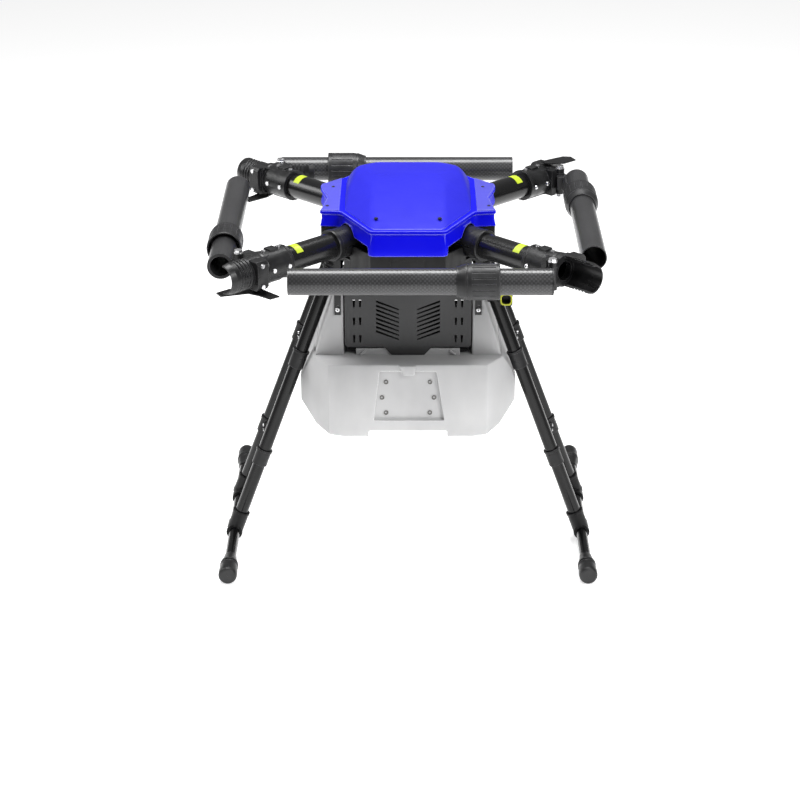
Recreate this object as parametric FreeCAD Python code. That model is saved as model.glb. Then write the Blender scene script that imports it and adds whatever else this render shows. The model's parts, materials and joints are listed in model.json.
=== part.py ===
"""Folding four-arm frame kit of an agricultural spray drone, arms folded.

Millimetres, +Z up, -Y the front.  The origin is on the ground under the centre of the hub.
Each arm is made in its own frame: x runs outwards along the arm, z is measured from the
axis of the tubes, and the arm is straight.  It is then folded about its hinge pin and
turned to its corner of the hub.
"""
import FreeCAD, Part
import math
import os

from FreeCAD import Vector

# ---- driving dimensions -------------------------------------------------------------
AXIS_Z = 656.0          # height of the arm tubes' axis
TUBE_R = 25.0           # arm tube, outside radius
TUBE_WALL = 2.0
ROOT_R = 132.0          # inner end of the short tubes, from the hub's centre
COLLAR_R = 213.0        # outer face of the root clamps
JOINT_R = 415.0         # plane where the two halves of a folding joint meet
PIVOT_SIDE = 35.0       # hinge pin, beside the tube's axis
FREE_LENGTH = 491.0     # from the joint plane to the open end of the arm tube
FOLD_DEG = -135.0       # the folded arm, turned from its straight position
ARM_ANGLES = {"front_right": -45.0, "rear_right": 45.0, "rear_left": 135.0, "front_left": 225.0}

THREAD_LENGTH = 70.0    # split thread that the lock nut screws over
THREAD_CREST = 30.5
THREAD_ROOT = 28.3
THREAD_PITCH = 7.6
THREAD_GROOVES = 4
THREAD_NECK = 22.0      # plain stretch between the joint plane and the first rib
GAP = 0.35              # clearance between pieces that move against each other

COLLAR_FROM = 99.0      # open rim of the lock nut, from the joint plane, at rest; it slides in by 76
NUT_LENGTH = 60.0
RING_LENGTH = 80.0
NUT_OUTER = 34.0
NUT_INNER = 31.0

SKID_X, SKID_Z, SKID_HALF = 357.0, 18.5, 301.0
SKID_R, SKID_CAP_R = 11.0, 18.5
LEG_FOOT = Vector(SKID_X, 88.0, SKID_Z)
LEG_TOP = Vector(143.0, 65.0, 600.0)
LEG_R = 13.0
LEG_WALL = 1.5          # of the legs and of the skids

PLATE_LOW = 618.0       # underside of the hub's lower plate
PLATE_HIGH = 688.0      # underside of the hub's upper plate
LOWER_PLATE, UPPER_PLATE = 4.0, 3.0     # thickness of the hub's plates
HUB_OUTLINE = [(70, -188), (152, -84), (152, 84), (70, 188),
               (-70, 188), (-152, 84), (-152, -84), (-70, -188)]
UPPER_OUTLINE = [(62, -185), (118, -84), (118, 84), (62, 185),
                 (-62, 185), (-118, 84), (-118, -84), (-62, -185)]

TANK_FRONT, TANK_REAR = -165.0, 135.0
TANK_TOP = 414.0        # ledge in front of and behind the shoulders
TANK_FLOOR = 273.0      # underside of the tank's middle, between its two feet
TANK_SEAM = 404.0       # height where its two shells meet
TANK_WALL = 3.0
SHOULDER_FRONT, SHOULDER_REAR = -110.0, 50.0
SHOULDER_TOP = 548.0
BAY_X = 127.0           # inner faces of the tank's shoulders
FILLER_Y = 92.0

X_AXIS, Y_AXIS, Z_AXIS = Vector(1, 0, 0), Vector(0, 1, 0), Vector(0, 0, 1)
ORIGIN = Vector(0, 0, 0)
PARTS = "parts"
REACH = 99.0            # takes a cut or a region past every part of a joint
FIT = 0.05              # slack of a piece pressed or glued on a tube


# ---- helpers ------------------------------------------------------------------------
def cylinder(radius, start, end):
    start, end = Vector(*start), Vector(*end)
    return Part.makeCylinder(radius, (end - start).Length, start, end - start)


def pipe(outer, inner, start, end):
    return cylinder(outer, start, end).cut(cylinder(inner, start, end))


def box(x0, x1, y0, y1, z0, z1):
    return Part.makeBox(x1 - x0, y1 - y0, z1 - z0, Vector(x0, y0, z0))


def prism(outline, z0, z1):
    wire = Part.makePolygon([Vector(x, y, z0) for x, y in outline + outline[:1]])
    return Part.Face(wire).extrude(Vector(0, 0, z1 - z0))


def side_prism(outline, y0, y1):
    """Outline of (x, z) points, extruded along Y."""
    wire = Part.makePolygon([Vector(x, y0, z) for x, z in outline + outline[:1]])
    return Part.Face(wire).extrude(Vector(0, y1 - y0, 0))


def turned(profile):
    """Solid of revolution about the x axis, from a closed profile of (x, radius) points."""
    wire = Part.makePolygon([Vector(x, 0, r) for x, r in profile + profile[:1]])
    return Part.Face(wire).revolve(ORIGIN, X_AXIS, 360)


def join(shapes):
    shapes = list(shapes)
    return shapes[0].multiFuse(shapes[1:]).removeSplitter() if len(shapes) > 1 else shapes[0]


def group(shapes):
    return Part.makeCompound(list(shapes))


def mirrored_x(shape):
    return shape.mirror(ORIGIN, X_AXIS)


def four_corners(shape):
    """The piece of the +X +Y corner, and its mirror images in the other three."""
    right = [shape, shape.mirror(ORIGIN, Y_AXIS)]
    return right + [mirrored_x(piece) for piece in right]


def at_corner(shape, angle, folded=False):
    """Moves a piece from the arm's own frame to its corner of the drone."""
    moved = shape.copy()
    if folded:
        moved.rotate(Vector(JOINT_R, -PIVOT_SIDE, 0), Z_AXIS, FOLD_DEG)
    moved.rotate(ORIGIN, Z_AXIS, angle)
    moved.translate(Vector(0, 0, AXIS_Z))
    return moved


def save(name, shape):
    shape.exportStep(os.path.join(PARTS, name + ".step"))


def sector(shape, middle, half_span):
    """The part of a piece round the x axis that lies within half_span degrees of a direction."""
    rays = [math.radians(middle + side * half_span) for side in (-1, 1)]
    corners = [ORIGIN] + [Vector(0, REACH * math.cos(ray), REACH * math.sin(ray)) for ray in rays]
    face = Part.Face(Part.makePolygon(corners + corners[:1]))
    return shape.common(face.extrude(Vector(JOINT_R + FREE_LENGTH, 0, 0)))


def thread_profile(inner):
    """Ribbed outside over a plain bore, from the joint plane to a tapered lead-in end."""
    start, end = JOINT_R, JOINT_R + THREAD_LENGTH
    lead_in, slope, root_width = 11.0, 1.6, 1.4
    profile = [(start, inner), (start, THREAD_CREST)]
    for groove in range(THREAD_GROOVES):
        x = start + THREAD_NECK + THREAD_PITCH * groove
        profile += [(x, THREAD_CREST), (x + slope, THREAD_ROOT), (x + slope + root_width, THREAD_ROOT),
                    (x + slope * 2 + root_width, THREAD_CREST)]
    return profile + [(end - lead_in, THREAD_CREST), (end, THREAD_ROOT - 0.6), (end, inner)]


# ---- fixed half of an arm -----------------------------------------------------------
CLAMP_FROM, CLAMP_TO = 333.0, 400.0
CLAMP_OUTER = 30.5
FLANGE_FROM, FLANGE_TO = 401.0, JOINT_R - GAP
CHEEK_FROM, CHEEK_TO = 406.0, 432.0  # block beside the joint plane, opposite the pin
CHEEK_Y, CHEEK_Z = 39.0, 28.0
FLANGE_R = 31.0
LUG_LOW, LUG_HIGH = 18.0, 27.0       # each lug's faces, above and below the axis
LUG_R = 9.5
PIN_R = 5.0
SPLIT_Y = 0.4                        # the fixed half of the thread starts here, beside the axis
PASSAGE_BORE = 19.0                  # way through the joint for the arm's cables
SCREW_HEAD_R, SCREW_R = 4.2, 2.0


def stub_tube():
    return pipe(TUBE_R, TUBE_R - TUBE_WALL, (ROOT_R, 0, 0), (CLAMP_TO, 0, 0))


def root_clamp():
    """Barrel on pads between the hub's plates that grips the short tube, with a collar outside."""
    start, collar_start = ROOT_R - 2.0, COLLAR_R - 10.0
    barrel_r, collar_r, core_r = 30.0, 31.2, 20.0
    half_width, pad_z = 18.0, 24.0
    barrel = turned([(start, core_r), (start, barrel_r), (collar_start, barrel_r), (collar_start + 1, collar_r),
                     (COLLAR_R - 2, collar_r), (COLLAR_R, collar_r - 1), (COLLAR_R, core_r)])
    low_pad = box(start, start + 38, -half_width, half_width, PLATE_LOW + LOWER_PLATE - AXIS_Z, -pad_z)
    high_pad = box(start, start + 17, -half_width, half_width, pad_z, PLATE_HIGH - AXIS_Z)
    bore = cylinder(TUBE_R + FIT, (start - 2, 0, 0), (COLLAR_R + 1, 0, 0))
    slot = box(start - 1, collar_start - 7, -barrel_r - 2, barrel_r + 2, -1, 1)
    return join([barrel, low_pad, high_pad]).cut(bore).cut(slot)


def pivot_cylinder(radius, low, high):
    return cylinder(radius, (JOINT_R, -PIVOT_SIDE, low), (JOINT_R, -PIVOT_SIDE, high))


def lug(low, high):
    """Plate from the clamp to the hinge pin, with an eye round the pin."""
    outline = [(372, -12), (372, 12), (398, 20), (FLANGE_TO, 12), (FLANGE_TO, -PIVOT_SIDE),
               (JOINT_R - LUG_R, -PIVOT_SIDE), (JOINT_R - LUG_R - 4, -26)]
    return join([prism(outline, low, high), pivot_cylinder(LUG_R, low, high)])


def cheek():
    """Block on the side of the joint away from the pin."""
    y, z = CHEEK_Y, CHEEK_Z
    outline = [(4, -z), (y - 5, -z), (y, 6 - z), (y, z - 6), (y - 5, z), (4, z)]
    wire = Part.makePolygon([Vector(CHEEK_FROM, a, b) for a, b in outline + outline[:1]])
    block = Part.Face(wire).extrude(Vector(CHEEK_TO - CHEEK_FROM, 0, 0))
    return block.cut(cylinder(TUBE_R + GAP, (CHEEK_FROM - 1, 0, 0), (CHEEK_TO + 1, 0, 0)))


def fixed_joint():
    """Clamp on the short tube, flange, hinge lugs and the half of the thread opposite the pin."""
    sleeve = turned([(CLAMP_FROM, 20), (CLAMP_FROM, 32), (CLAMP_FROM + 5, 32), (CLAMP_FROM + 6, CLAMP_OUTER),
                     (CLAMP_TO - 6, CLAMP_OUTER), (CLAMP_TO - 3, 29.5), (FLANGE_FROM, 29.5),
                     (FLANGE_FROM + 3, FLANGE_R), (FLANGE_TO, FLANGE_R), (FLANGE_TO, 20)])
    flange = cylinder(36.0, (FLANGE_FROM, 0, 0), (FLANGE_TO, 0, 0)).common(
        box(FLANGE_FROM, FLANGE_TO, -27, 31, -CHEEK_Z, CHEEK_Z))
    trough = turned(thread_profile(TUBE_R + GAP))
    trough = trough.cut(box(JOINT_R - 1, JOINT_R + REACH, -REACH, SPLIT_Y, -REACH, REACH))
    root = cylinder(THREAD_CREST, (FLANGE_TO - 1, 0, 0), (JOINT_R + 0.1, 0, 0)).cut(
        cylinder(TUBE_R + GAP, (FLANGE_TO - 2, 0, 0), (JOINT_R + 1, 0, 0))).common(
        box(FLANGE_TO - 2, JOINT_R + 1, SPLIT_Y, REACH, -REACH, REACH))
    pad = box(355, 375, -9, 9, 27, 34)
    keel = box(342, 396, -3, 3, -34, -27)
    hinge_block = box(388, 401.5, -37, -20, -LUG_HIGH, LUG_HIGH)
    body = join([sleeve, flange, cheek(), trough, root, lug(LUG_LOW, LUG_HIGH), lug(-LUG_HIGH, -LUG_LOW),
                 pad, keel, hinge_block])
    body = body.cut(cylinder(TUBE_R + FIT, (CLAMP_FROM - 1, 0, 0), (CLAMP_TO, 0, 0)))
    body = body.cut(cylinder(PASSAGE_BORE, (CLAMP_TO - 1, 0, 0), (JOINT_R, 0, 0)))
    body = body.cut(pivot_cylinder(LUG_R + 3, -LUG_LOW, LUG_LOW))
    body = body.cut(pivot_cylinder(PIN_R + 0.03, -REACH, REACH))
    body = body.cut(box(CLAMP_FROM - 1, CLAMP_TO - 6, -1.0, 1.0, -36, -20))
    for place, out in screw_places():
        body = body.cut(cylinder(SCREW_HEAD_R + 0.2, place, place + out * 5.0))
        body = body.cut(cylinder(SCREW_R + 0.1, place - out * 3.2, place + out))
    return body


def screw_places():
    """Seat of each screw and the way its head points: on the clamp and on the cheek."""
    seat = CLAMP_OUTER - 0.6
    places = [(Vector(x, 0, 0) + out * seat, out) for x in (346.0, 384.0) for out in (Y_AXIS, Z_AXIS)]
    return places + [(Vector(421.0, CHEEK_Y - 0.6, z), Y_AXIS) for z in (-20.3, 20.3)]


def hinge_pin():
    """Bolt with a washer and hexagon head on top and a nut below."""
    turns = [math.radians(angle) for angle in range(0, 360, 60)]
    hexagon = [(JOINT_R + 8 * math.cos(turn), -PIVOT_SIDE + 8 * math.sin(turn)) for turn in turns]
    washer = pivot_cylinder(9.0, LUG_HIGH, LUG_HIGH + 1.5)
    head = prism(hexagon, LUG_HIGH + 1.5, LUG_HIGH + 6.5)
    foot = prism(hexagon, -LUG_HIGH - 6, -LUG_HIGH)
    return join([pivot_cylinder(PIN_R, -LUG_HIGH, LUG_HIGH + 1.5), washer, head, foot])


def joint_screws():
    """Screws in the clamp's side and top and in the cheek."""
    return [cylinder(SCREW_HEAD_R, place, place + out * 3.4).fuse(cylinder(SCREW_R, place - out * 3.0, place))
            for place, out in screw_places()]


GUIDE_PLATE = 2.5       # thickness


def low_guide_plate():
    """Flat plate with two pointed wings across a joint, on a spacer below its flange."""
    outline = [(404, 66), (426, 64), (428, 34), (434, 12), (481, -12),
               (476, -31), (446, -30), (410, -8), (402, 17)]
    high = -FLANGE_R - 4.5
    spacer = cylinder(6.0, (409, 6, high), (409, 6, -FLANGE_R))
    return prism(outline, high - GUIDE_PLATE, high).fuse(spacer)


def high_guide_plate():
    """Flat plate with one wing, on a spacer above the flange of the rear right joint."""
    low = NUT_OUTER + 0.6
    outline = [(400, 6), (398, -14), (426, -37), (461, -38), (469, -17), (459, -4)]
    return prism(outline, low, low + GUIDE_PLATE).fuse(cylinder(5.0, (407, -4, FLANGE_R), (407, -4, low)))


def reflective_band(lean):
    """Strip of tape over the top of the short tube, leaning to one side by some degrees."""
    start, width, thickness, half_span = 300.0, 16.0, 0.6, 33.0
    ring = pipe(TUBE_R + thickness, TUBE_R, (start, 0, 0), (start + width, 0, 0))
    return sector(ring, 90.0 + lean, half_span)


# ---- folding half of an arm ---------------------------------------------------------
MOUTH = 3.0             # thickness of the ring that closes the arm tube's inner end
PLUG_LENGTH = 60.0
PLUG_R = 22.0           # the arm tube's wall is thicker round the plug


def arm_tube():
    tube = cylinder(TUBE_R, (JOINT_R + MOUTH, 0, 0), (JOINT_R + FREE_LENGTH, 0, 0))
    plug_end = JOINT_R + PLUG_LENGTH
    tube = tube.cut(cylinder(PLUG_R, (JOINT_R, 0, 0), (plug_end + 1, 0, 0)))
    return tube.cut(cylinder(TUBE_R - TUBE_WALL, (plug_end, 0, 0), (JOINT_R + FREE_LENGTH + 1, 0, 0)))


def swing_joint():
    """Plug in the arm tube, mouth ring, strip of ribs and the knuckle on the hinge pin."""
    plug_r, bore, mouth = PLUG_R - FIT, PASSAGE_BORE + 0.5, JOINT_R + MOUTH
    plug = turned([(JOINT_R, bore), (JOINT_R, TUBE_R), (mouth, TUBE_R), (mouth, plug_r),
                   (JOINT_R + PLUG_LENGTH, plug_r), (JOINT_R + PLUG_LENGTH, bore)])
    strip = sector(turned(thread_profile(TUBE_R + 0.03)), 180.0, 32.0)
    web = box(JOINT_R, mouth, -THREAD_CREST + 1.5, -LUG_LOW, -14, 14)
    knuckle_half = LUG_LOW - GAP
    knuckle = pivot_cylinder(LUG_R, -knuckle_half, knuckle_half)
    bridge_z = knuckle_half - 4
    bridge = box(JOINT_R, JOINT_R + 22, -PIVOT_SIDE - 6, -TUBE_R - 1, -bridge_z, bridge_z)
    body = join([plug, strip, web, knuckle, bridge])
    body = body.cut(pipe(TUBE_R + 0.03, plug_r, (mouth, 0, 0), (JOINT_R + REACH, 0, 0)))
    body = body.cut(cylinder(bore, (JOINT_R - 20, 0, 0), (JOINT_R + REACH, 0, 0)))
    return body.cut(pivot_cylinder(PIN_R + FIT, -REACH, REACH))


def collar_ring():
    """Ring that slides along the arm tube and carries the lock nut."""
    start = JOINT_R + COLLAR_FROM
    flange_from, neck_from, cone_from, end = start + 48.0, start + 54.0, start + 60.4, start + RING_LENGTH
    bore, flange_r, neck_r, cone_r = TUBE_R + 0.3, 30.4, 27.4, 33.0
    return turned([(flange_from, bore), (flange_from, flange_r), (neck_from, flange_r), (neck_from, neck_r),
                   (cone_from, neck_r), (cone_from, cone_r), (cone_from + 4, cone_r), (end - 3, neck_r + 1.1),
                   (end, neck_r + 0.6), (end, bore)])


def lock_nut():
    """Ribbed nut, open towards the joint, held on the collar ring by an inner lip."""
    start = JOINT_R + COLLAR_FROM
    end = start + NUT_LENGTH
    lip_r, lip_from = 27.8, end - 5.6
    shell = turned([(start, NUT_INNER), (start, NUT_OUTER - 1), (start + 1.5, NUT_OUTER), (end - 6, NUT_OUTER),
                    (end, NUT_OUTER - 1), (end, lip_r), (lip_from, lip_r), (lip_from, NUT_INNER)])
    count, groove_r, depth = 18, 1.6, 0.9
    centre = NUT_OUTER + groove_r - depth
    grooves = []
    for i in range(count):
        groove = cylinder(groove_r, (start + 8, 0, centre), (end - 8, 0, centre))
        groove.rotate(ORIGIN, X_AXIS, i * 360.0 / count)
        grooves.append(groove)
    return shell.cut(group(grooves))


# ---- hub, canopy and covers ---------------------------------------------------------
# right-hand half of a side lobe's outline and of the skirt's, from the front to the rear
LOBE_HALF = [(131, -90), (173, -86), (168, -62), (160, -3), (174, 57), (176, 84), (160, 98), (131, 128)]
SKIRT_HALF = [(72, -212)] + LOBE_HALF + [(72, 212)]
# right-hand halves of the dome's level outlines, from the front to the rear, with their heights
DOME_LEVELS = [(706.0, [(72, -212), (131, -88), (131, 90), (72, 190)]),
               (724.0, [(70, -112), (119, 0), (118, 92), (68, 158)]),
               (739.0, [(70, -22), (107, 56), (105, 98), (64, 130)]),
               (745.0, [(66, 34), (92, 76), (91, 94), (60, 108)])]
RIM_Z, LOBE_Z, LOBE_LOW, SKIRT_Z = 706.0, 708.0, 676.0, 655.0
CANOPY_SCREW_X, CANOPY_SCREW_Y = 61.0, 165.0
CANOPY_WALL = 2.5
PASSAGE_R = 33.0        # openings in the canopy and the covers round each arm's root


def hub_plate(outline, z0, z1, windows):
    plate = prism(outline, z0, z1)
    return plate.cut(group([box(*(window + (z0 - 1, z1 + 1))) for window in windows]))


def level_wire(right_half, z):
    """Closed outline at one height, from the points of its right-hand half."""
    outline = whole(right_half)
    return Part.makePolygon([Vector(x, y, z) for x, y in outline + outline[:1]])


def shrunk(outline, inset):
    """The outline with each corner moved towards the centre by about the inset."""
    scale_x = 1.0 - inset / max(x for x, _ in outline)
    scale_y = 1.0 - inset / max(y for _, y in outline)
    return [(x * scale_x, y * scale_y) for x, y in outline]


def whole(right_half):
    """Closed outline from the points of its right-hand half."""
    return right_half + [(-x, y) for x, y in reversed(right_half)]


def canopy_form(inset):
    """Closed form of the canopy: a skirt with side lobes under a faceted dome."""
    skirt = prism(shrunk(whole(SKIRT_HALF), inset), SKIRT_Z - (1.0 if inset else 0.0), RIM_Z - inset)
    lobes = prism(shrunk(whole(LOBE_HALF), inset), LOBE_LOW, LOBE_Z - inset)
    levels = [level_wire(shrunk(points, inset), z - inset - (0.5 if z == RIM_Z else 0.0))
              for z, points in DOME_LEVELS]
    return join([skirt, lobes, Part.makeLoft(levels, True, True)])


def canopy():
    shell = canopy_form(0.0).cut(canopy_form(CANOPY_WALL))
    arches = []
    inner, outer = ROOT_R - 12, COLLAR_R + 47
    for angle in ARM_ANGLES.values():
        arches.append(at_corner(cylinder(PASSAGE_R, (inner, 0, 0), (outer, 0, 0)), angle))
        arches.append(at_corner(box(inner, outer, -90, 90, SKIRT_Z - 59 - AXIS_Z, 15), angle))
    sides = [box(side - 60, side + 60, -92, 140, SKIRT_Z - 5, LOBE_LOW - 2) for side in (-200, 200)]
    band = [box(-69, 69, side - 1, side + 1, 680, 699) for side in (-212, 212)]
    shell = shell.cut(group(arches)).cut(group(sides)).cut(group(band))
    screw_holes = [cylinder(2.2, (x, y, PLATE_HIGH + 2), (x, y, 740))
                   for x in (-CANOPY_SCREW_X, CANOPY_SCREW_X) for y in (-CANOPY_SCREW_Y, CANOPY_SCREW_Y)]
    return largest(shell.cut(group(screw_holes)))


def largest(shape):
    return max(shape.Solids, key=lambda solid: solid.Volume)


def canopy_screws():
    """Screws from the dome to the upper plate; each head stands just clear of the sloping face."""
    screws = []
    for x in (-CANOPY_SCREW_X, CANOPY_SCREW_X):
        for y, top in ((-CANOPY_SCREW_Y, 715.3), (CANOPY_SCREW_Y, 722.6)):
            head = cylinder(3.8, (x, y, top), (x, y, top + 2.6))
            screws.append(head.fuse(cylinder(2.0, (x, y, PLATE_HIGH + UPPER_PLATE), (x, y, top))))
    return screws


def arm_passage(corner):
    """Clears the way of one arm's root through a cover."""
    return at_corner(cylinder(PASSAGE_R, (ROOT_R - 32, 0, 0), (COLLAR_R + 17, 0, 0)), ARM_ANGLES[corner])


def end_cover(front):
    """Black cover below the canopy's front or rear edge, with a recessed panel."""
    outline = [(-72, -194), (72, -194), (112, -144), (60, -130), (-60, -130), (-112, -144)]
    low, high = PLATE_LOW - 16, SKIRT_Z - 2
    cover = prism(outline, low, high).cut(prism(HUB_OUTLINE, low - 1, high + 1))
    cover = cover.cut(box(-34, 34, -195, -192, low + 6, high - 13))
    for corner in ("front_left", "front_right"):
        cover = cover.cut(arm_passage(corner))
    return largest(cover) if front else largest(cover).mirror(ORIGIN, Y_AXIS)


def side_cover():
    """Black cover below a side lobe of the canopy, on the right, on a post from the lower plate."""
    outer = [(120, -82), (170, -82), (165, -62), (157, -3), (170, 57), (171, 80), (120, 82)]
    inner = [(119, -79), (167, -79), (162, -62), (154, -3), (167, 57), (168, 77), (119, 79)]
    low, high, floor = 650.0, LOBE_LOW - 2.4, 3.0
    tray = prism(outer, low, high).cut(prism(inner, low + floor, high + 1))
    for corner in ("front_right", "rear_right"):
        tray = tray.cut(arm_passage(corner))
    post = box(130, 142, -12, 12, PLATE_LOW + LOWER_PLATE, low + 1)
    return largest(tray.fuse(post))


# ---- battery bay and electronics ----------------------------------------------------
BATTERY_PLATE_LOW = 431.5
BATTERY_FLOOR = 420.0
SLOT_ROWS = (449.0, 486.0, 523.0)
LOUVRES, LOUVRE_TOP, LOUVRE_PITCH = 8, 527.0, 9.0
BAY_HALF = 121.0


def battery_front_plate(y0, y1):
    """Flat plate with V-shaped rows of louvres and pairs of upright slots."""
    low = BATTERY_PLATE_LOW
    half = [(32.5, TANK_TOP + 1), (47, low), (121, low), (125, low + 5), (125, PLATE_LOW)]
    plate = side_prism(whole(half), y0, y1)
    cuts = []
    for row in range(LOUVRES):
        top = LOUVRE_TOP - LOUVRE_PITCH * row
        louvre = side_prism([(18, top - 18), (63, top - 1.5), (63, top + 3.5), (18, top - 15)], y0 - 1, y1 + 1)
        cuts += [louvre, mirrored_x(louvre)]
    for z in SLOT_ROWS:
        for x in (92.0, 104.0):
            slot = side_prism([(x, z + 8), (x + 1, z - 8), (x + 4, z - 8), (x + 5, z + 8)], y0 - 1, y1 + 1)
            cuts += [slot, mirrored_x(slot)]
    return plate.cut(group(cuts))


def battery_sill():
    """Low plate behind the bay; the battery slides in over it."""
    y = SHOULDER_REAR - 1
    return box(-BAY_HALF, BAY_HALF, y - 3, y, BATTERY_FLOOR, BATTERY_FLOOR + 50)


def battery_tray():
    """Floor of the battery bay, with side walls, on the tank's saddle."""
    front, rear = SHOULDER_FRONT + 6.5, SHOULDER_REAR - 4
    sheet = 3.0
    floor = box(-BAY_HALF, BAY_HALF, front, rear, BATTERY_FLOOR, BATTERY_FLOOR + sheet)
    wall = box(BAY_HALF - sheet, BAY_HALF, front, rear, BATTERY_FLOOR + sheet, PLATE_LOW - 18)
    return join([floor, wall, mirrored_x(wall)])


def power_connector():
    """Square socket on a ring clamped round the right-hand front leg."""
    body = box(178, 206, -104, -72, 516, 542)
    ring = leg_piece(16.5, 0, 518, 538).mirror(ORIGIN, Y_AXIS)
    hole = leg_piece(LEG_R + FIT, 0, 500, 560).mirror(ORIGIN, Y_AXIS)
    return body.fuse(ring).cut(hole).cut(box(183, 201, -105, -92, 521, 537))


def connector_rim():
    return box(179, 205, -107, -104, 517, 541).cut(box(182, 202, -108, -103, 520, 538))


# ---- tank ---------------------------------------------------------------------------
TANK_SECTION = [(-127, 260), (127, 260), (183, 269), (216, 301), (216, 357), (188, TANK_TOP),
                (-188, TANK_TOP), (-216, 357), (-216, 301), (-183, 269)]
CORNER = (31.0, 50.0)   # corner chamfers of the lower tank, across and along
RECESS_DEPTH = 8.0


def tank_form(inset):
    """Closed outer form of the tank, or with an inset the cavity inside it."""
    middle_z, narrowing = 340.0, 1 - inset / 164.0
    section = [(x * narrowing, z + (inset if z < middle_z else -inset)) for x, z in TANK_SECTION]
    block = side_prism(section, TANK_FRONT + inset, TANK_REAR - inset)
    cut_x, cut_y = CORNER
    for front, sign in ((TANK_FRONT, 1), (TANK_REAR, -1)):
        edge = front + sign * inset * 1.4
        reach = 68.0
        tip = (188 - cut_x + reach, edge + sign * reach * cut_y / cut_x)
        corner = prism([(188 - cut_x, edge), (188 - cut_x + reach, edge), tip], 250, 420)
        block = block.cut(corner).cut(mirrored_x(corner))
    block = block.cut(box(-78 - inset, 78 + inset, TANK_FRONT - 1, TANK_REAR + 1, 250, TANK_FLOOR + inset))
    block = block.cut(recess(inset))
    shoulder = side_prism(
        [(BAY_X + inset, TANK_TOP - 8), (186 - inset, TANK_TOP - 8), (174 - inset, 458),
         (150 - inset, 530), (144 - inset, SHOULDER_TOP - inset), (BAY_X + inset, SHOULDER_TOP - inset)],
        SHOULDER_FRONT + inset, SHOULDER_REAR - inset)
    return join([block, shoulder, mirrored_x(shoulder)])


def recess(inset):
    """Tapered recess in the front face for the threaded inserts."""
    depth = RECESS_DEPTH + inset
    outline = [(-56 - inset, 400 + inset), (56 + inset, 400 + inset),
               (72 + inset, 295 - inset), (-68 - inset, 295 - inset)]
    return side_prism(outline, TANK_FRONT - 1, TANK_FRONT + depth)


def tank_shell():
    shell = tank_form(0.0).cut(tank_form(TANK_WALL))
    neck_hole = cylinder(30.0, (0, FILLER_Y, TANK_TOP - 10), (0, FILLER_Y, TANK_TOP + 1))
    outlet_hole = cylinder(10.0, (0, 0, TANK_FLOOR - 3), (0, 0, TANK_FLOOR + 7))
    boss = side_prism([(-18, 413), (16, 413), (12, 392), (-8, 392)], TANK_FRONT - 4, TANK_FRONT + 1)
    ledge = box(-103, 103, SHOULDER_FRONT + 0.5, SHOULDER_FRONT + 6, TANK_TOP - 1, 427)
    return join([shell, boss, ledge]).cut(neck_hole).cut(outlet_hole)


def write_tank_shells():
    """The tank in two shells, welded at a seam just below its top ledge."""
    shell = tank_shell()
    reach = 250.0
    for name, low, high in (("tank", 0, TANK_SEAM), ("tank_top", TANK_SEAM, AXIS_Z)):
        save(name, largest(shell.common(box(-reach, reach, -reach, reach, low, high))))


INSERT_PLACES = [(43.4, 375.0), (51.4, 342.0), (43.4, 309.5)]


def tank_inserts():
    face = TANK_FRONT + RECESS_DEPTH
    inserts = []
    for x, z in INSERT_PLACES:
        for side in (-x, x):
            inserts.append(pipe(4.5, 2.5, (side, face - 1.5, z), (side, face, z)))
    return inserts


def filler_neck():
    return pipe(29.9, 26.0, (0, FILLER_Y, TANK_TOP - 8), (0, FILLER_Y, TANK_TOP + 16)).fuse(
        pipe(36.0, 29.9, (0, FILLER_Y, TANK_TOP), (0, FILLER_Y, TANK_TOP + 4)))


def filler_cap():
    """Screw cap over the filler neck, with grip ribs."""
    low, high = TANK_TOP + 5.0, TANK_TOP + 22.0
    cap = cylinder(35.0, (0, FILLER_Y, low), (0, FILLER_Y, high))
    cap = cap.cut(cylinder(30.3, (0, FILLER_Y, low - 1), (0, FILLER_Y, TANK_TOP + 16.4)))
    ribs = [cylinder(1.8, (35.0 * math.cos(a), FILLER_Y + 35.0 * math.sin(a), low),
                     (35.0 * math.cos(a), FILLER_Y + 35.0 * math.sin(a), high - 2))
            for a in (math.radians(20 * i) for i in range(18))]
    return join([cap] + ribs)


def tank_outlet():
    """Threaded spout under the tank with a sealing flange."""
    flange = cylinder(20.0, (0, 0, TANK_FLOOR - 7), (0, 0, TANK_FLOOR))
    spout = cylinder(9.9, (0, 0, TANK_FLOOR - 29), (0, 0, TANK_FLOOR + 4))
    return flange.fuse(spout).cut(cylinder(7.0, (0, 0, TANK_FLOOR - 30), (0, 0, TANK_FLOOR + 5)))


def tank_bracket():
    """Slotted strap that hangs a shoulder of the tank from the hub, on the right."""
    strap = box(132, 145, SHOULDER_FRONT - 4.5, SHOULDER_FRONT - 1.0, 500, PLATE_LOW)
    strap = strap.cut(box(136, 141, SHOULDER_FRONT - 5, SHOULDER_FRONT, 506, 520))
    foot = box(127, 145, SHOULDER_FRONT - 4.5, SHOULDER_FRONT + 8, PLATE_LOW - 3, PLATE_LOW)
    return strap.fuse(foot)


# ---- landing gear -------------------------------------------------------------------
LEG_DIR = (LEG_TOP - LEG_FOOT).normalize()


def along_leg(height):
    """Point on the leg's axis at the given height."""
    return LEG_FOOT + LEG_DIR * ((height - SKID_Z) / LEG_DIR.z)


def leg_piece(outer, inner, low, high):
    start, end = along_leg(low), along_leg(high)
    solid = Part.makeCylinder(outer, (end - start).Length, start, LEG_DIR)
    return solid.cut(Part.makeCylinder(inner, (end - start).Length, start, LEG_DIR)) if inner else solid


def leg_tube():
    return leg_piece(LEG_R, LEG_R - LEG_WALL, 40.0, 596.0)


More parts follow.
